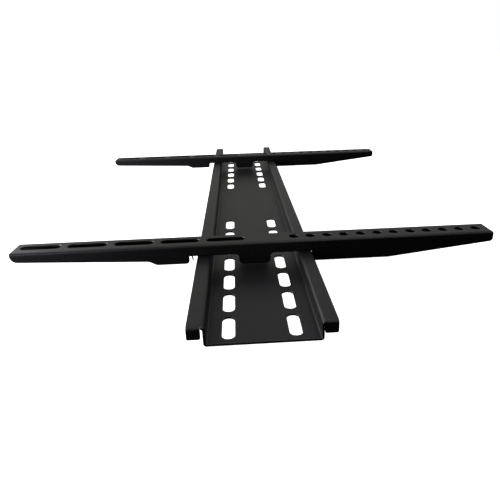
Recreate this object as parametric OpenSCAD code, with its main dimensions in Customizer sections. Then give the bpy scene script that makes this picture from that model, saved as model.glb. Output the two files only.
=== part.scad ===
// Fixed wall mount for a flat screen: one folded wall plate with two rails, and two arms hooked on them.
// It lies on its back. +X points up the wall, +Y runs along the plate and +Z points out of the wall.
// The origin is the middle of the wall plate's back face.

/* [Wall plate] */
// Length of the wall plate along the wall
plate_length = 650; // [600:10:900]
// Overall width across both rails
plate_width = 99; // [99:0.5:104]
// Height of the rails' front face above the wall
rail_height = 14.3; // [13:0.1:18]
// Thickness of the plate's sheet
plate_sheet = 1.5; // [1.2:0.1:2]
// Outer width of the channel between the rails
channel_width = 79; // [74:0.1:79]
// How far the channel sits from the rails' middle towards the upper rail
channel_offset = 0.6; // [0:0.1:0.6]
// Inside radius of the bends beside the base
base_bend_radius = 0.7; // [0.5:0.1:2]
// Inside radius of the bends under the rails
rail_bend_radius = 1.3; // [0.5:0.1:2]

/* [Wall slots] */
// Number of slots in each row of a group
wall_slot_count = 7; // [3:1:7]
// Distance from one slot to the next along the plate
wall_slot_pitch = 36.5; // [34:0.5:38]
// Distance from the plate's end to the first slot's middle
wall_slot_margin = 20; // [18:0.5:24]
// Length of a slot from end to end
wall_slot_length = 29; // [20:0.5:30]
// Width of a slot
wall_slot_width = 9; // [7:0.5:10]
// Distance between the two rows of slots
wall_slot_rows = 45.4; // [40:0.2:54]

/* [End tabs] */
// Width of each folded end tab
tab_width = 9.1; // [7:0.1:9.1]
// Height of each folded end tab
tab_height = 8.9; // [6:0.1:10]
// Radius of the tabs' free corners
tab_corner_radius = 1.2; // [0.5:0.1:2]
// Inside radius of the fold between rail and tab
tab_bend_radius = 0.7; // [0.5:0.1:1]
// Width of the relief cut between a tab and the channel
relief_width = 0.25; // [0.15:0.05:0.25]

/* [Arms] */
// Length of an arm
arm_length = 419; // [415:0.5:440]
// Distance from the rails' middle to the arm's lower end
arm_lower_reach = 207.5; // [206:0.5:212]
// Width of an arm across its flanges
arm_width = 24; // [24:0.5:30]
// Height of the arm's front face above the wall
arm_height = 24.6; // [24:0.1:27]
// Thickness of the arm's sheet
arm_sheet = 1.5; // [1.2:0.1:1.6]
// Inside radius of the arm's two long bends
arm_bend_radius = 0.7; // [0.5:0.1:0.9]
// Distance from the plate's middle to the right arm's middle
right_arm_place = 193.4; // [100:0.1:290]
// Distance from the plate's middle to the left arm's middle
left_arm_place = 202.4; // [100:0.1:290]

/* [Arm flanges] */
// Depth of the deep flanges and of the centre lug
deep_flange = 19.2; // [18:0.1:20]
// Depth of the lower lug beside the lift-off gap
lower_lug_depth = 16.8; // [15:0.1:18]
// Depth of the flange where it meets the lower lug's slant
lower_flange_depth = 13.4; // [11:0.1:14]
// Depth of the flange at the lower end
lower_tip_depth = 8.5; // [7:0.1:10]
// Depth of the flange at the upper end
upper_tip_depth = 8.6; // [7:0.1:10]
// Distance from the rails' middle to the start of the upper taper
taper_start = 118; // [90:1:140]
// Half the width of the centre lug
centre_lug_half = 13.7; // [10:0.1:18]
// Height of the notches' roof above the rail
notch_clearance = 0.3; // [0.2:0.05:0.5]
// Distance from the rails' middle to the hook's nose
hook_nose = 43; // [42.5:0.1:44]
// Gap between the hook and the upper rail
hook_clearance = 0.5; // [0.3:0.1:0.8]
// Distance from the rails' middle to the lower lug's edge
lower_lug_edge = 56.7; // [56.5:0.1:60]

/* [Arm holes] */
// Number of long slots on the lower half
arm_slot_count = 5; // [3:1:5]
// Distance from one long slot to the next
arm_slot_pitch = 40; // [38:0.5:41]
// Length of a long slot from end to end
arm_slot_length = 34; // [20:0.5:35]
// Distance from the rails' middle to the nearest long slot's middle
arm_slot_first = 25; // [24:0.5:28]
// Number of round holes on the upper half
arm_hole_count = 12; // [6:1:12]
// Distance from one round hole to the next
arm_hole_pitch = 15; // [14:0.5:15]
// Distance from the rails' middle to the nearest round hole
arm_hole_first = 35.3; // [30:0.1:36]
// Width of the long slots and of the round holes
arm_hole_width = 8.5; // [6.5:0.1:9]

/* [Lock springs] */
// Thickness of the spring strip
spring_sheet = 0.6; // [0.5:0.1:1]
// Width of the spring strip
spring_width = 4; // [3:0.1:4.2]
// Distance from the arm's middle to the strip's middle
spring_place = 7.6; // [7.4:0.1:7.8]
// Distance from the rails' middle to the finger's tip
finger_place = 53.6; // [53.5:0.1:56]
// Height of the finger's tip above the wall
finger_tip = 9.2; // [6:0.1:11]
// How far the finger leans over its height
finger_lean = 2.4; // [0:0.1:6]
// Length of the strip's welded foot
spring_foot = 34; // [20:1:60]
// Inside radius of the strip's bend
spring_bend_radius = 1.2; // [0.8:0.1:3]

/* [Hidden] */
steel_black = [0.09, 0.09, 0.1];
spring_black = [0.2, 0.2, 0.21];
// Chords in each rounded corner of an outline
arc_steps = 8;
// Fragments of each bored circle
bore_fragments = 48;
// How far a cutter runs past the face that it cuts
over = 1;
// How far joined pieces reach into each other
lap = 0.4;

half_plate = plate_length / 2;
half_rails = plate_width / 2;
channel_lower = channel_offset - channel_width / 2 + plate_sheet;
channel_upper = channel_offset + channel_width / 2 - plate_sheet;
tab_inner = half_rails - tab_width;
tab_fold = tab_bend_radius + plate_sheet;
notch_roof = rail_height + notch_clearance;
deep_edge = arm_height - deep_flange;
arm_upper_reach = arm_length - arm_lower_reach;
arm_underside = arm_height - arm_sheet;
hook_throat = half_rails + hook_clearance;
hook_roof = rail_height - plate_sheet - hook_clearance;
lug_slant = 7;
tip_corner = 1;
tip_round = 6;
taper_round = 12;
lug_round = 4;
notch_round = 3;
hook_round = 2;
throat_round = 0.5;

function unit(v) = v / norm(v);
function right_of(v) = [v[1], -v[0]];
function heading(v) = atan2(v[1], v[0]);
function wrapped(angle) = angle > 180 ? angle - 360 : angle < -180 ? angle + 360 : angle;

// Points of the arc that rounds the corner at p, between its neighbours a and b
function corner_arc(a, p, b, radius) =
    let (
        u = unit(a - p),
        v = unit(b - p),
        half_angle = acos(u * v) / 2,
        reach = radius / tan(half_angle),
        centre = p + unit(u + v) * radius / sin(half_angle),
        start = heading(p + u * reach - centre),
        sweep = wrapped(heading(p + v * reach - centre) - start)
    )
    [for (i = [0 : arc_steps]) let (t = start + sweep * i / arc_steps) centre + radius * [cos(t), sin(t)]];

// Closed outline from corners given as [x, y, radius]
function rounded_outline(corners) =
    let (n = len(corners), at = [for (c = corners) [c[0], c[1]]])
    [for (i = [0 : n - 1]) each
        corners[i][2] > 0
            ? corner_arc(at[(i + n - 1) % n], at[i], at[(i + 1) % n], corners[i][2])
            : [at[i]]];

// Point beside corner i of a path, one sheet thickness to its right
function beside(path, i, sheet) =
    let (
        last = len(path) - 1,
        into = right_of(unit(path[max(i, 1)] - path[max(i, 1) - 1])),
        out = right_of(unit(path[min(i, last - 1) + 1] - path[min(i, last - 1)]))
    )
    path[i] + (into + out) * sheet / (1 + into * out);

// Closed outline of a folded sheet: the path is its left face, and bends holds the inside radius of each fold
function folded_outline(path, sheet, bends) =
    let (
        last = len(path) - 1,
        turn = [for (i = [1 : last - 1]) sign(cross(path[i] - path[i - 1], path[i + 1] - path[i]))],
        left_face = [for (i = [0 : last])
            let (bend = i > 0 && i < last ? bends[i - 1] + (turn[i - 1] < 0 ? sheet : 0) : 0)
            [path[i][0], path[i][1], bend]],
        right_face = [for (i = [last : -1 : 0])
            let (
                p = beside(path, i, sheet),
                bend = i > 0 && i < last ? bends[i - 1] + (turn[i - 1] > 0 ? sheet : 0) : 0
            )
            [p[0], p[1], bend]]
    )
    rounded_outline(concat(left_face, right_face));

// Extrusion of an outline given as [x, z], from y = 0 to y = length
module along_y(length) {
    translate([0, length, 0])
        rotate([90, 0, 0])
            linear_extrude(height = length)
                children();
}

// Extrusion of an outline given as [y, z], from x = 0 to x = length
module along_x(length) {
    rotate([90, 0, 90])
        linear_extrude(height = length)
            children();
}

// Cutter for a round-ended slot along X, centred on the origin
module slot_cutter(length, width, depth) {
    straight = length - width;
    translate([-straight / 2, -width / 2, -depth / 2])
        cube([straight, width, depth]);
    for (side = [-1, 1])
        translate([side * straight / 2, 0, 0])
            cylinder(h = depth, d = width, center = true, $fn = bore_fragments);
}

// Channel with a rail flange on each side, before its ends are cut
module rail_section() {
    path = [
        [-half_rails, rail_height],
        [channel_lower, rail_height],
        [channel_lower, plate_sheet],
        [channel_upper, plate_sheet],
        [channel_upper, rail_height],
        [half_rails, rail_height]
    ];
    bends = [rail_bend_radius, base_bend_radius, base_bend_radius, rail_bend_radius];
    translate([0, -half_plate, 0])
        along_y(plate_length)
            polygon(folded_outline(path, plate_sheet, bends));
}

// Tab folded down from the lower rail's end at negative Y
module end_tab() {
    fold = [
        [-half_plate, rail_height - tab_height],
        [-half_plate, rail_height],
        [-half_plate + tab_fold + lap, rail_height]
    ];
    face = [
        [-half_rails, rail_height - tab_height, tab_corner_radius],
        [-half_rails, rail_height + over, 0],
        [-tab_inner, rail_height + over, 0],
        [-tab_inner, rail_height - tab_height, tab_corner_radius]
    ];
    intersection() {
        translate([-half_rails, 0, 0])
            along_x(tab_width)
                polygon(folded_outline(fold, plate_sheet, [tab_bend_radius]));
        translate([0, -half_plate - over, 0])
            along_y(tab_fold + lap + 2 * over)
                polygon(rounded_outline(face));
    }
}

// Cutter that clears the rails' ends for the folded tabs
module tab_relief() {
    inner = tab_inner - relief_width;
    for (side = [0, 1])
        mirror([side, 0, 0])
            translate([inner, -half_plate - over, -over])
                cube([half_rails - inner + over, tab_fold + over, rail_height + 2 * over]);
}

// Wall slots of one group, counted from the plate's end at negative Y
module wall_slots() {
    for (i = [0 : wall_slot_count - 1])
        for (side = [-1, 1])
            translate([
                side * wall_slot_rows / 2,
                -half_plate + wall_slot_margin + i * wall_slot_pitch,
                plate_sheet / 2
            ])
                rotate([0, 0, 90])
                    slot_cutter(wall_slot_length, wall_slot_width, plate_sheet + 2 * over);
}

// Everything that is the same at both ends of the plate
module both_ends() {
    for (end = [0, 1])
        mirror([0, end, 0])
            children();
}

module wall_plate() {
    color(steel_black)
        union() {
            difference() {
                rail_section();
                both_ends() tab_relief();
                both_ends() wall_slots();
            }
            both_ends()
                for (side = [0, 1])
                    mirror([side, 0, 0])
                        end_tab();
        }
}

// Side view of an arm as [x, z, radius], clockwise from its lower end's front corner
function arm_corners() = [
    [-arm_lower_reach, arm_height, tip_corner],
    [arm_upper_reach, arm_height, tip_corner],
    [arm_upper_reach, arm_height - upper_tip_depth, notch_round],
    [taper_start, deep_edge, taper_round],
    [hook_nose, deep_edge, hook_round],
    [hook_nose, hook_roof, hook_round],
    [hook_throat, hook_roof, throat_round],
    [hook_throat, notch_roof, throat_round],
    [centre_lug_half, notch_roof, notch_round],
    [centre_lug_half, deep_edge, lug_round],
    [-centre_lug_half, deep_edge, lug_round],
    [-centre_lug_half, notch_roof, notch_round],
    [-lower_lug_edge, notch_roof, throat_round],
    [-lower_lug_edge, arm_height - lower_lug_depth, notch_round],
    [-lower_lug_edge - 4 * lug_slant, arm_height - lower_lug_depth, lug_round],
    [-lower_lug_edge - 5 * lug_slant, arm_height - lower_flange_depth, lug_round],
    [-arm_lower_reach, arm_height - lower_tip_depth, tip_round]
];

// Bent channel as long as the arm, open towards the wall
module arm_channel() {
    half = arm_width / 2;
    low = deep_edge - over;
    path = [[-half, low], [-half, arm_height], [half, arm_height], [half, low]];
    translate([-arm_lower_reach, 0, 0])
        along_x(arm_length)
            polygon(folded_outline(path, arm_sheet, [arm_bend_radius, arm_bend_radius]));
}

// Long slots on the lower half and round holes on the upper half
module arm_holes() {
    depth = arm_sheet + 2 * over;
    middle = arm_height - arm_sheet / 2;
    for (i = [0 : arm_slot_count - 1])
        translate([-arm_slot_first - i * arm_slot_pitch, 0, middle])
            slot_cutter(arm_slot_length, arm_hole_width, depth);
    for (i = [0 : arm_hole_count - 1])
        translate([arm_hole_first + i * arm_hole_pitch, 0, middle])
            cylinder(h = depth, d = arm_hole_width, center = true, $fn = bore_fragments);
}

module arm() {
    color(steel_black)
        difference() {
            intersection() {
                arm_channel();
                translate([0, -arm_width / 2 - over, 0])
                    along_y(arm_width + 2 * over)
                        polygon(rounded_outline(arm_corners()));
            }
            arm_holes();
        }
}

// Spring strip welded under the arm's face beside the slots, with its finger hanging in the lift-off gap
module lock_spring() {
    bend_x = -finger_place - finger_lean;
    path = [
        [bend_x - spring_foot, arm_underside],
        [bend_x, arm_underside],
        [-finger_place, finger_tip]
    ];
    color(spring_black)
        translate([0, -spring_place - spring_width / 2, 0])
            along_y(spring_width)
                polygon(folded_outline(path, spring_sheet, [spring_bend_radius]));
}

module right_arm() {
    translate([0, -right_arm_place, 0]) arm();
}

module left_arm() {
    translate([0, left_arm_place, 0]) arm();
}

module right_lock_spring() {
    translate([0, -right_arm_place, 0]) lock_spring();
}

module left_lock_spring() {
    translate([0, left_arm_place, 0]) lock_spring();
}

wall_plate();
right_arm();
left_arm();
right_lock_spring();
left_lock_spring();
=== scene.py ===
"""A fixed wall mount for a flat screen, dressed and lit for a catalogue picture.

The mount lies on its back on a pale floor: +X points up the wall, +Y runs along the wall plate and
+Z points out of the wall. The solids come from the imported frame. This script gives them their
finishes, adds the spot welds that hold the lock springs, and sets up the floor, lights and camera.
"""

from __future__ import annotations

import logging
import math
from dataclasses import dataclass, field
from enum import Enum

import bmesh
import bpy
from mathutils import Matrix, Vector


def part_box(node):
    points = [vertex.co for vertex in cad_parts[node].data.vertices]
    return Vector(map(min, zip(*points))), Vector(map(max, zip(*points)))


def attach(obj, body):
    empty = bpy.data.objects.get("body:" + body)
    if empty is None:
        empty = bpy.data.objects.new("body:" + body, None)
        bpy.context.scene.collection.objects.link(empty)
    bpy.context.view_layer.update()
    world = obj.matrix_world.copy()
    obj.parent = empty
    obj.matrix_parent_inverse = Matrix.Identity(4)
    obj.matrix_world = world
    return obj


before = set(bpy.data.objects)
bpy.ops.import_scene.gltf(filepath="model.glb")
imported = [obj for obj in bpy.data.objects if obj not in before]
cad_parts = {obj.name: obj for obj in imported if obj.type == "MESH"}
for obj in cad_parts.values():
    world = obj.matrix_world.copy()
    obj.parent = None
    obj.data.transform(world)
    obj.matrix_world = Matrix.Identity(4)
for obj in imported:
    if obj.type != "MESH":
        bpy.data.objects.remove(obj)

LOG = logging.getLogger("wall_mount")
MM = 0.001
WHITE = (1.0, 1.0, 1.0)
MID_PATTERN = 0.5


class Side(Enum):
    """The two arms, named as they are seen from the room."""

    RIGHT = "right"
    LEFT = "left"


class Value:
    """A number on a shader socket that can be used in Python expressions."""

    def __init__(self, maker: NodeMaker, socket: bpy.types.NodeSocket) -> None:
        """Keeps the socket and the maker that adds nodes beside it.

        Args:
            maker: Adds the Math nodes that an expression needs.
            socket: The output socket that carries the number.
        """
        self.maker = maker
        self.socket = socket

    def _math(self, operation: str, first: object, second: object) -> Value:
        """Adds one Math node.

        Args:
            operation: The Math node's operation.
            first: The upper input, a Value or a number.
            second: The lower input, a Value or a number.

        Returns:
            The node's result.
        """
        settings = {"operation": operation}
        node = self.maker.node("ShaderNodeMath", settings, {0: first, 1: second})
        return Value(self.maker, node.outputs[0])

    def __add__(self, other: object) -> Value:
        """Adds a number or a Value."""
        return self._math("ADD", self, other)

    def __radd__(self, other: object) -> Value:
        """Adds this Value to a number."""
        return self._math("ADD", other, self)

    def __sub__(self, other: object) -> Value:
        """Takes away a number or a Value."""
        return self._math("SUBTRACT", self, other)

    def __rsub__(self, other: object) -> Value:
        """Takes this Value away from a number."""
        return self._math("SUBTRACT", other, self)

    def __mul__(self, other: object) -> Value:
        """Multiplies by a number or a Value."""
        return self._math("MULTIPLY", self, other)

    def __rmul__(self, other: object) -> Value:
        """Multiplies a number by this Value."""
        return self._math("MULTIPLY", other, self)

    def clipped(self) -> Value:
        """Keeps this Value between 0 and 1."""
        node = self.maker.node("ShaderNodeClamp", {}, {"Value": self})
        return Value(self.maker, node.outputs[0])


class NodeMaker:
    """Adds nodes to one material, each by its type, its settings and what goes into its sockets."""

    def __init__(self, name: str) -> None:
        """Makes an empty node material.

        Args:
            name: The material's name.
        """
        self.material = bpy.data.materials.new(name)
        self.material.use_nodes = True
        self.tree = self.material.node_tree
        self.tree.nodes.clear()

    def node(
        self, kind: str, settings: dict[str, object], inputs: dict[object, object]
    ) -> bpy.types.Node:
        """Adds a node, with its settings made first and its sockets filled after them.

        Args:
            kind: The node's type, as Blender names it.
            settings: Attribute names and what each is set to.
            inputs: Socket names or numbers, with a number, a colour, a socket or a Value for each.

        Returns:
            The new node.
        """
        made = self.tree.nodes.new(kind)
        for name, setting in settings.items():
            setattr(made, name, setting)
        for name, given in inputs.items():
            socket = made.inputs[name]
            if isinstance(given, Value):
                self.tree.links.new(given.socket, socket)
            elif isinstance(given, bpy.types.NodeSocket):
                self.tree.links.new(given, socket)
            else:
                socket.default_value = given
        return made

    def place(
        self, stretch: tuple[float, float, float] = (1.0, 1.0, 1.0)
    ) -> bpy.types.NodeSocket:
        """Gives the place on the object, in metres.

        Args:
            stretch: How much each axis is multiplied by.

        Returns:
            A vector socket.
        """
        where = self.node("ShaderNodeTexCoord", {}, {}).outputs["Object"]
        return self.node("ShaderNodeMapping", {}, {"Vector": where, "Scale": stretch}).outputs[0]

    def noise(
        self, place: bpy.types.NodeSocket, scale: float, detail: float, roughness: float = 0.5
    ) -> Value:
        """Adds a soft random pattern between 0 and 1.

        Args:
            place: Where the pattern is read.
            scale: How many blobs there are to a metre.
            detail: How many finer layers are added.
            roughness: How strong the finer layers are.

        Returns:
            The pattern.
        """
        inputs = {"Vector": place, "Scale": scale, "Detail": detail, "Roughness": roughness}
        node = self.node("ShaderNodeTexNoise", {"noise_dimensions": "3D"}, inputs)
        return Value(self, node.outputs["Fac"])

    def blend(
        self, mask: Value, low: tuple[float, ...], high: tuple[float, ...]
    ) -> bpy.types.NodeSocket:
        """Blends two colours.

        Args:
            mask: 0 for the first colour and 1 for the second.
            low: The first colour, as red, green, blue.
            high: The second colour, as red, green, blue.

        Returns:
            A colour socket.
        """
        inputs = {"Factor": mask, 6: (*low, 1.0), 7: (*high, 1.0)}
        return self.node("ShaderNodeMix", {"data_type": "RGBA"}, inputs).outputs[2]

    def rounded(self, radius: float, samples: int) -> bpy.types.NodeSocket:
        """Gives a surface normal that rolls over sharp edges.

        Args:
            radius: How far from an edge the roll begins, in metres.
            samples: How many rays look for the edge.

        Returns:
            A normal socket.
        """
        return self.node("ShaderNodeBevel", {"samples": samples}, {"Radius": radius}).outputs[0]

    def edge_mask(self, rolled: bpy.types.NodeSocket, sharpness: float) -> Value:
        """Gives 1 on sharp edges and 0 on plain faces.

        Args:
            rolled: The rolled normal from rounded().
            sharpness: How quickly the mask rises towards an edge.

        Returns:
            The mask.
        """
        surface = self.node("ShaderNodeNewGeometry", {}, {}).outputs["Normal"]
        settings = {"operation": "DOT_PRODUCT"}
        alike = self.node("ShaderNodeVectorMath", settings, {0: rolled, 1: surface})
        return ((1.0 - Value(self, alike.outputs["Value"])) * sharpness).clipped()

    def bump(
        self,
        height: Value,
        depth: float,
        strength: float,
        base: bpy.types.NodeSocket | None = None,
    ) -> bpy.types.NodeSocket:
        """Turns a height pattern into a surface normal.

        Args:
            height: The pattern, between 0 and 1.
            depth: The height of the full pattern in metres.
            strength: How much of it shows.
            base: The normal that the pattern is laid over, or None for the surface's own.

        Returns:
            A normal socket.
        """
        inputs = {"Height": height, "Distance": depth, "Strength": strength}
        if base is not None:
            inputs["Normal"] = base
        return self.node("ShaderNodeBump", {}, inputs).outputs["Normal"]

    def finish(self, sockets: dict[str, object]) -> bpy.types.Material:
        """Adds the surface shader and the output.

        Args:
            sockets: The shader's socket names and what goes into each.

        Returns:
            The finished material.
        """
        shader = self.node("ShaderNodeBsdfPrincipled", {}, sockets)
        self.node("ShaderNodeOutputMaterial", {}, {"Surface": shader.outputs["BSDF"]})
        return self.material


@dataclass(frozen=True)
class PowderCoat:
    """Satin black powder coat, baked on sheet steel.

    Attributes:
        name: The material's name.
        dark: The coat's colour where it is thickest.
        light: The coat's colour where it is thinnest.
        clouds_per_metre: How many patches of thick and thin coat there are to a metre.
        specks_per_metre: How many specks there are to a metre.
        speck_share: How much of the colour's change the specks make, the patches making the rest.
        sheen_roughness: The mean roughness of the coat.
        drifts_per_metre: How many patches of duller and glossier coat there are to a metre.
        drift_swing: How far the roughness wanders from patch to patch.
        grains_per_metre: How many grains of the baked powder there are to a metre.
        grain_swing: How far the roughness wanders from grain to grain.
        peel_per_metre: How many lumps of orange peel there are to a metre.
        fine_peel_ratio: How much finer the second layer of orange peel is.
        fine_peel_share: How much of the height the second layer makes.
        peel_depth: The height of the orange peel in metres.
        peel_strength: How much of the orange peel shows.
        edge_roll: How far the coat rolls over a sheared edge, in metres.
        edge_samples: How many rays look for an edge.
        edge_sharpness: How quickly the coat changes towards an edge.
        edge_smoothing: How much smoother the coat is on an edge, where it drew thin as it melted.
        reflectance: The coat's specular level.
    """

    name: str = "satin_black_powder_coat"
    dark: tuple[float, float, float] = (0.0016, 0.0016, 0.0019)
    light: tuple[float, float, float] = (0.0033, 0.0032, 0.0032)
    clouds_per_metre: float = 24.0
    specks_per_metre: float = 1900.0
    speck_share: float = 0.25
    sheen_roughness: float = 0.42
    drifts_per_metre: float = 55.0
    drift_swing: float = 0.06
    grains_per_metre: float = 1400.0
    grain_swing: float = 0.05
    peel_per_metre: float = 620.0
    fine_peel_ratio: float = 3.1
    fine_peel_share: float = 0.2
    peel_depth: float = 0.04 * MM
    peel_strength: float = 0.5
    edge_roll: float = 1.3 * MM
    edge_samples: int = 8
    edge_sharpness: float = 14.0
    edge_smoothing: float = 0.33
    reflectance: float = 0.5

    def _colour(self, maker: NodeMaker, here: bpy.types.NodeSocket) -> bpy.types.NodeSocket:
        """Mixes the coat's colour from soft patches and fine specks.

        Args:
            maker: Adds the nodes.
            here: The place on the object.

        Returns:
            A colour socket.
        """
        cloud = maker.noise(here, self.clouds_per_metre, detail=3.0)
        speck = maker.noise(here, self.specks_per_metre, detail=1.0, roughness=0.6)
        thin = cloud * (1.0 - self.speck_share) + speck * self.speck_share
        return maker.blend(thin.clipped(), self.dark, self.light)

    def _roughness(self, maker: NodeMaker, here: bpy.types.NodeSocket, edge: Value) -> Value:
        """Lets the coat's gloss wander, and raises it on the edges.

        Args:
            maker: Adds the nodes.
            here: The place on the object.
            edge: 1 on sharp edges and 0 on plain faces.

        Returns:
            The roughness.
        """
        drift = maker.noise(here, self.drifts_per_metre, detail=4.0, roughness=0.62)
        grain = maker.noise(here, self.grains_per_metre, detail=2.0)
        plain = self.sheen_roughness + (drift - MID_PATTERN) * self.drift_swing
        grained = plain + (grain - MID_PATTERN) * self.grain_swing
        return (grained - edge * self.edge_smoothing).clipped()

    def _peel(self, maker: NodeMaker, here: bpy.types.NodeSocket) -> Value:
        """Makes the height of the orange peel from a coarse and a fine layer.

        Args:
            maker: Adds the nodes.
            here: The place on the object.

        Returns:
            The height, between 0 and 1.
        """
        coarse = maker.noise(here, self.peel_per_metre, detail=1.0, roughness=0.4)
        fine = maker.noise(here, self.peel_per_metre * self.fine_peel_ratio, detail=1.0)
        return coarse * (1.0 - self.fine_peel_share) + fine * self.fine_peel_share

    def material(self) -> bpy.types.Material:
        """Builds the coat's node material."""
        maker = NodeMaker(self.name)
        here = maker.place()
        rolled = maker.rounded(self.edge_roll, self.edge_samples)
        edge = maker.edge_mask(rolled, self.edge_sharpness)
        peel = self._peel(maker, here)
        return maker.finish(
            {
                "Base Color": self._colour(maker, here),
                "Roughness": self._roughness(maker, here, edge),
                "Specular IOR Level": self.reflectance,
                "Normal": maker.bump(peel, self.peel_depth, self.peel_strength, rolled),
            }
        )


@dataclass(frozen=True)
class SpringSteel:
    """Blackened spring steel strip, rolled along its length.

    Attributes:
        name: The material's name.
        dark: The oxide's colour.
        light: The colour where the oxide is thin.
        lines_per_metre: How many rolling lines there are to a metre along each axis.
        clouds_per_metre: How many patches of thick and thin oxide there are to a metre.
        cloud_share: How much of the colour's change the patches make, the lines making the rest.
        roughness: The mean roughness.
        line_swing: How far the roughness wanders from line to line.
        cloud_swing: How far the roughness wanders from patch to patch.
        line_depth: The depth of the rolling lines in metres.
        line_strength: How much of the rolling lines shows.
    """

    name: str = "blackened_spring_steel"
    dark: tuple[float, float, float] = (0.05, 0.05, 0.056)
    light: tuple[float, float, float] = (0.15, 0.148, 0.145)
    lines_per_metre: tuple[float, float, float] = (40.0, 2600.0, 40.0)
    clouds_per_metre: float = 180.0
    cloud_share: float = 0.5
    roughness: float = 0.36
    line_swing: float = 0.18
    cloud_swing: float = 0.12
    line_depth: float = 0.01 * MM
    line_strength: float = 0.4

    def material(self) -> bpy.types.Material:
        """Builds the strip's node material."""
        maker = NodeMaker(self.name)
        lines = maker.noise(maker.place(self.lines_per_metre), 1.0, detail=3.0, roughness=0.6)
        cloud = maker.noise(maker.place(), self.clouds_per_metre, detail=3.0)
        thin = lines * (1.0 - self.cloud_share) + cloud * self.cloud_share
        rough = self.roughness + (lines - MID_PATTERN) * self.line_swing
        rough = rough + (cloud - MID_PATTERN) * self.cloud_swing
        return maker.finish(
            {
                "Base Color": maker.blend(thin.clipped(), self.dark, self.light),
                "Metallic": 1.0,
                "Roughness": rough.clipped(),
                "Normal": maker.bump(lines, self.line_depth, self.line_strength),
            }
        )


@dataclass(frozen=True)
class PaleFloor:
    """Plain white studio floor.

    Attributes:
        name: The material's name.
        grey: How much light the floor gives back.
        grey_swing: How far the grey wanders to either side.
        clouds_per_metre: How many lighter and darker patches there are to a metre.
        roughness: How matt the floor is.
        reflectance: The floor's specular level.
        glow: How much light comes through the floor from below, as on a light table.
    """

    name: str = "pale_floor"
    grey: float = 0.86
    grey_swing: float = 0.01
    clouds_per_metre: float = 1.5
    roughness: float = 0.9
    reflectance: float = 0.1
    glow: float = 1.05

    def material(self) -> bpy.types.Material:
        """Builds the floor's material."""
        maker = NodeMaker(self.name)
        cloud = maker.noise(maker.place(), self.clouds_per_metre, detail=2.0)
        low = self.grey - self.grey_swing
        high = self.grey + self.grey_swing
        return maker.finish(
            {
                "Base Color": maker.blend(cloud, (low, low, low), (high, high, high)),
                "Roughness": self.roughness,
                "Specular IOR Level": self.reflectance,
                "Emission Color": (*WHITE, 1.0),
                "Emission Strength": self.glow,
            }
        )


@dataclass
class WallPlate:
    """The folded wall plate with its two rails, end tabs and wall slots.

    Attributes:
        node: The solid's name in the frame.
    """

    node: str = "wall_plate"

    def dress(self, coat: bpy.types.Material) -> None:
        """Puts the finish on the plate.

        Args:
            coat: The finish, already built.
        """
        dress_node(self.node, coat)


@dataclass
class LockSpring:
    """The spring strip under an arm, with its finger beside the lower rail.

    Attributes:
        side: Which arm it belongs to.
        strip: The strip's thickness, in metres.
        weld_count: How many spot welds hold the strip's foot.
        weld_first: How far the first weld is from the foot's end, in metres.
        weld_pitch: How far the welds are apart, in metres.
        weld_radius: The radius of a spot weld where it meets the strip, in metres.
        weld_slope: How far each step of a weld's dome goes in, in metres.
        weld_drop: How far a weld stands below the strip, in metres.
        weld_root: How far a weld reaches into the strip, in metres.
        weld_steps: How far the crown's middle moves up or down at each step in, in metres.
        weld_sides: How many sides a weld's outline has.
    """

    side: Side
    strip: float = 0.6 * MM
    weld_count: int = 3
    weld_first: float = 4.5 * MM
    weld_pitch: float = 10.0 * MM
    weld_radius: float = 1.25 * MM
    weld_slope: float = 0.25 * MM
    weld_drop: float = 0.12 * MM
    weld_root: float = 0.1 * MM
    weld_steps: tuple[float, ...] = (-0.05 * MM, 0.07 * MM)
    weld_sides: int = 24

    @property
    def node(self) -> str:
        """The solid's name in the frame."""
        return f"{self.side.value}_lock_spring"

    @property
    def body(self) -> str:
        """The body that the spring rides on."""
        return f"{self.side.value}_arm"

    def dress(self, steel: bpy.types.Material) -> None:
        """Puts the finish on the strip.

        Args:
            steel: The finish, already built.
        """
        dress_node(self.node, steel)

    def build_welds(self, steel: bpy.types.Material) -> bpy.types.Object:
        """Builds the row of spot welds on the strip's foot.

        Args:
            steel: The finish of the welds.

        Returns:
            The new piece.
        """
        low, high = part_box(self.node)
        across = (low.y + high.y) / 2
        strip_face = high.z - self.strip
        mesh = bmesh.new()
        for number in range(self.weld_count):
            along = low.x + self.weld_first + number * self.weld_pitch
            self._add_weld(mesh, Vector((along, across, strip_face)))
        piece = mesh_object(f"{self.side.value}_spring_welds", mesh, steel)
        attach(piece, self.body)
        return piece

    def _add_weld(self, mesh: bmesh.types.BMesh, place: Vector) -> None:
        """Adds one spot weld, a low closed dome with a sunk middle.

        Args:
            mesh: The mesh that the weld is added to.
            place: The weld's middle on the strip's lower face.
        """
        old_verts, old_faces = len(mesh.verts), len(mesh.faces)
        bmesh.ops.create_cone(
            mesh,
            cap_ends=True,
            segments=self.weld_sides,
            radius1=self.weld_radius - self.weld_slope,
            radius2=self.weld_radius,
            depth=self.weld_drop + self.weld_root,
        )
        mesh.normal_update()
        mesh.faces.ensure_lookup_table()
        crown = min(mesh.faces[old_faces:], key=lambda face: face.normal.z)
        for rise in self.weld_steps:
            bmesh.ops.inset_individual(mesh, faces=[crown], thickness=self.weld_slope)
            bmesh.ops.translate(mesh, verts=crown.verts[:], vec=(0.0, 0.0, rise))
        mesh.verts.ensure_lookup_table()
        middle = place + Vector((0.0, 0.0, (self.weld_root - self.weld_drop) / 2))
        bmesh.ops.translate(mesh, verts=mesh.verts[old_verts:], vec=middle)


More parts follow.
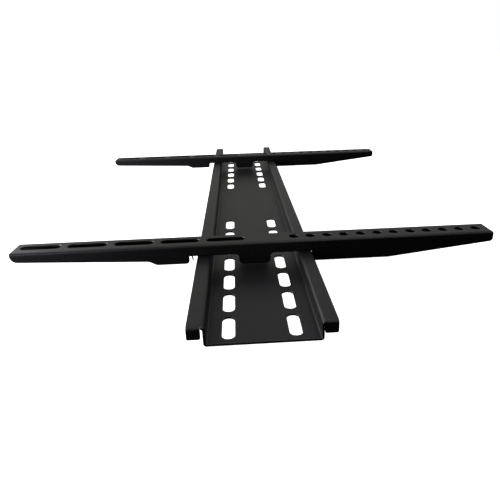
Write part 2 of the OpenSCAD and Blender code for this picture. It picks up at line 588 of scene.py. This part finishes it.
@dataclass
class HookArm:
    """One channel arm with its hook, lugs, slots and round holes.

    Attributes:
        side: Which arm it is.
    """

    side: Side

    @property
    def node(self) -> str:
        """The solid's name in the frame."""
        return f"{self.side.value}_arm"

    def dress(self, coat: bpy.types.Material) -> None:
        """Puts the finish on the arm.

        Args:
            coat: The finish, already built.
        """
        dress_node(self.node, coat)

    def spring(self) -> LockSpring:
        """Gives the lock spring that the arm carries."""
        return LockSpring(self.side)


@dataclass
class WallMount:
    """The whole mount: the plate, its two arms and their lock springs.

    Attributes:
        plate: The wall plate.
        arms: The two arms.
        coat: The finish of the plate and the arms.
        steel: The finish of the lock springs.
    """

    plate: WallPlate = field(default_factory=WallPlate)
    arms: tuple[HookArm, ...] = tuple(HookArm(side) for side in Side)
    coat: PowderCoat = PowderCoat()
    steel: SpringSteel = SpringSteel()

    def dress(self) -> None:
        """Builds each finish once and puts it on every piece that has it."""
        coat = self.coat.material()
        steel = self.steel.material()
        self.plate.dress(coat)
        LOG.info("dressed %s", self.plate.node)
        for arm in self.arms:
            arm.dress(coat)
            LOG.info("dressed %s", arm.node)
            spring = arm.spring()
            spring.dress(steel)
            LOG.info("dressed %s", spring.node)
            welds = spring.build_welds(steel)
            LOG.info("built %s", welds.name)


@dataclass(frozen=True)
class Softbox:
    """One rectangular studio light.

    Attributes:
        name: The light's name.
        bearing: Its bearing from the mount in degrees, 0 along +Y and 90 along +X.
        rise: Its angle above the floor in degrees.
        width: Its width in metres.
        height: Its height in metres.
        watts: Its power.
        colour: Its colour, as red, green, blue.
        distance: How far from the mount's middle it hangs, in metres.
    """

    name: str
    bearing: float
    rise: float
    width: float
    height: float
    watts: float
    colour: tuple[float, float, float] = WHITE
    distance: float = 3.0

    def hang(self) -> bpy.types.Object:
        """Hangs the light in the scene."""
        light = bpy.data.lights.new(self.name, "AREA")
        light.shape = "RECTANGLE"
        light.size = self.width
        light.size_y = self.height
        light.energy = self.watts
        light.color = self.colour
        lamp = bpy.data.objects.new(self.name, light)
        bpy.context.scene.collection.objects.link(lamp)
        turn = math.radians(self.bearing)
        lift = math.radians(self.rise)
        level = Vector((math.sin(turn), math.cos(turn), 0.0))
        away = level * math.cos(lift) + Vector((0.0, 0.0, math.sin(lift)))
        lamp.location = away * self.distance
        lamp.rotation_mode = "QUATERNION"
        lamp.rotation_quaternion = away.to_track_quat("Z", "Y")
        lamp.visible_camera = False
        return lamp


@dataclass(frozen=True)
class PictureCamera:
    """The camera that takes the picture, low over the plate's near end.

    Attributes:
        place: Where the lens is, in metres.
        yaw: How far it looks to the right of +Y, in radians.
        pitch: How far it looks down, in radians.
        roll: How far it leans, in radians.
        focal_pixels: The focal length in pixels of the picture.
        middle_pixels: Where the lens's axis meets the picture, from its left and top edges.
        picture_pixels: The picture's width and height.
        sensor_width: The width of the sensor in millimetres.
        nearest: How near the camera sees, in metres.
        furthest: How far the camera sees, in metres.
    """

    place: tuple[float, float, float] = (-0.01123, -0.59129, 0.17263)
    yaw: float = 0.0503
    pitch: float = 0.3822
    roll: float = -0.0281
    focal_pixels: float = 480.0
    middle_pixels: tuple[float, float] = (264.15, 250.0)
    picture_pixels: float = 500.0
    sensor_width: float = 36.0
    nearest: float = 0.01
    furthest: float = 100.0

    def matrix(self) -> Matrix:
        """Works out where the camera stands and how it is turned."""
        level = Vector((math.sin(self.yaw), math.cos(self.yaw), 0.0))
        ahead = level * math.cos(self.pitch) - Vector((0.0, 0.0, math.sin(self.pitch)))
        right = Vector((math.cos(self.yaw), -math.sin(self.yaw), 0.0))
        up = right.cross(ahead)
        across = math.cos(self.roll) * right + math.sin(self.roll) * up
        above = math.cos(self.roll) * up - math.sin(self.roll) * right
        turned = Matrix((across, above, -ahead)).transposed().to_4x4()
        return Matrix.Translation(self.place) @ turned

    def stand(self) -> bpy.types.Object:
        """Puts the camera in the scene and makes it the scene's own."""
        half = self.picture_pixels / 2
        data = bpy.data.cameras.new("picture_camera")
        data.sensor_width = self.sensor_width
        data.lens = self.sensor_width * self.focal_pixels / self.picture_pixels
        data.shift_x = (half - self.middle_pixels[0]) / self.picture_pixels
        data.shift_y = (self.middle_pixels[1] - half) / self.picture_pixels
        data.clip_start = self.nearest
        data.clip_end = self.furthest
        camera = bpy.data.objects.new("picture_camera", data)
        camera.matrix_world = self.matrix()
        bpy.context.scene.collection.objects.link(camera)
        bpy.context.scene.camera = camera
        return camera


@dataclass
class Studio:
    """The pale floor, the soft light and the camera.

    Attributes:
        floor: The floor's finish.
        floor_size: The floor's length and width in metres.
        floor_squares: How many squares the floor has along each side.
        floor_drop: How far the floor lies below the mount's back, in metres.
        room_white: How bright the room round the floor is.
        lights: The softboxes.
        camera: The camera.
    """

    floor: PaleFloor = PaleFloor()
    floor_size: float = 60.0
    floor_squares: int = 4
    floor_drop: float = 0.2 * MM
    room_white: float = 1.0
    lights: tuple[Softbox, ...] = (
        Softbox("window_softbox", -66.0, 28.0, 2.2, 1.6, 34.0, (1.0, 0.98, 1.06)),
        Softbox("high_left_softbox", -90.0, 50.0, 1.3, 1.17, 24.0, (1.0, 0.94, 1.25)),
        Softbox("top_softbox", 0.0, 88.0, 2.4, 2.4, 13.2, (1.02, 1.04, 0.65)),
        Softbox("back_wall", 0.0, 22.0, 6.0, 2.0, 13.2, (1.0, 1.02, 0.92)),
        Softbox("high_back_softbox", 30.0, 60.0, 1.5, 1.5, 4.7, (0.95, 0.9, 1.5)),
        Softbox("back_left_softbox", -30.0, 25.0, 1.3, 1.17, 1.0),
        Softbox("near_left_softbox", -75.0, 30.0, 0.6, 0.5, 1.0, distance=0.8),
        Softbox("low_left_softbox", -80.0, 20.0, 1.2, 0.6, 6.0, distance=1.0),
        Softbox("low_front_softbox", -140.0, 6.0, 0.6, 0.3, 2.3, (0.97, 0.99, 1.1), distance=1.0),
        Softbox("right_softbox", 90.0, 32.0, 1.8, 1.2, 15.0),
        Softbox("front_softbox", 165.0, 50.0, 1.8, 1.2, 10.0),
    )
    camera: PictureCamera = PictureCamera()

    def lay_floor(self) -> bpy.types.Object:
        """Lays the floor that the mount rests on."""
        mesh = bmesh.new()
        squares = self.floor_squares
        bmesh.ops.create_grid(mesh, x_segments=squares, y_segments=squares, size=self.floor_size / 2)
        bmesh.ops.translate(mesh, verts=mesh.verts[:], vec=(0.0, 0.0, -self.floor_drop))
        floor = mesh_object("floor", mesh, self.floor.material())
        floor.visible_glossy = False
        floor.visible_diffuse = False
        return floor

    def whiten_room(self) -> None:
        """Makes the room round the floor plain white."""
        world = bpy.data.worlds.new("studio_room")
        bpy.context.scene.world = world
        world.use_nodes = True
        shade = world.node_tree.nodes["Background"]
        shade.inputs["Color"].default_value = (*WHITE, 1.0)
        shade.inputs["Strength"].default_value = self.room_white
        world.cycles_visibility.glossy = False
        world.cycles_visibility.diffuse = False

    def set_up(self) -> None:
        """Builds the whole studio."""
        bpy.context.scene.view_settings.view_transform = "Standard"
        bpy.context.scene.view_settings.look = "None"
        self.lay_floor()
        self.whiten_room()
        for light in self.lights:
            light.hang()
        self.camera.stand()


def dress_node(node: str, material: bpy.types.Material) -> None:
    """Puts one material on every slot of a solid from the frame.

    Args:
        node: The solid's name.
        material: The finish that it gets.
    """
    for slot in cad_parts[node].material_slots:
        slot.material = material


def mesh_object(
    name: str, mesh: bmesh.types.BMesh, material: bpy.types.Material
) -> bpy.types.Object:
    """Makes an object at the origin from a finished bmesh.

    Args:
        name: The object's name.
        mesh: The finished mesh, which is freed.
        material: The object's only material.

    Returns:
        The new object.
    """
    data = bpy.data.meshes.new(name)
    mesh.to_mesh(data)
    mesh.free()
    data.materials.append(material)
    piece = bpy.data.objects.new(name, data)
    bpy.context.scene.collection.objects.link(piece)
    return piece


def main() -> None:
    """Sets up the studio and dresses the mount."""
    logging.basicConfig(level=logging.INFO, format="%(message)s")
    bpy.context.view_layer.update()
    Studio().set_up()
    LOG.info("set up the studio")
    WallMount().dress()
    bpy.context.view_layer.update()
    LOG.info("wrote the sizes")


if __name__ == "__main__":
    main()
